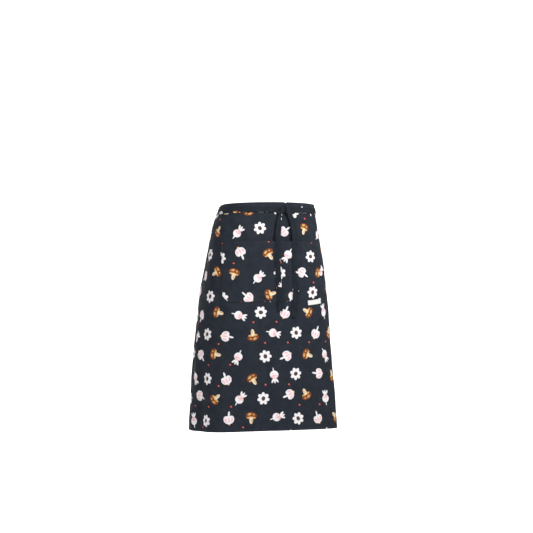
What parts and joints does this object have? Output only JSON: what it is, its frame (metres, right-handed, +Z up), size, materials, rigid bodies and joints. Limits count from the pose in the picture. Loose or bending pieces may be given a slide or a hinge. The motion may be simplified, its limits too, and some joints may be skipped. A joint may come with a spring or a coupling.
{
  "type": "waist apron",
  "caption": "Knee-length waist apron of dark printed cloth in its worn form, with a band, a wide front patch pocket and waist ties knotted in front.",
  "frame": {"origin": "middle of the wearer's waist, at half the waistband's height in front", "axes": "+Z up along the wearer, -Y out of the apron's front, +X to the right of a viewer who faces the front"},
  "size_m": [0.4734, 0.2771, 0.7006],
  "materials": {
    "printed_cloth": "matt dark navy poly-cotton twill with a tossed print in white, pink and brown",
    "label_weave": "plain white woven label"
  },
  "bodies": {
    "root": {"skirt_panel": "printed_cloth", "waistband": "printed_cloth", "pocket": "printed_cloth", "pocket_label": "label_weave", "waist_tie_left": "printed_cloth", "waist_tie_right": "printed_cloth", "tie_knot": "printed_cloth", "tie_tail_left": "printed_cloth", "tie_tail_right": "printed_cloth"}
  },
  "joints": []
}
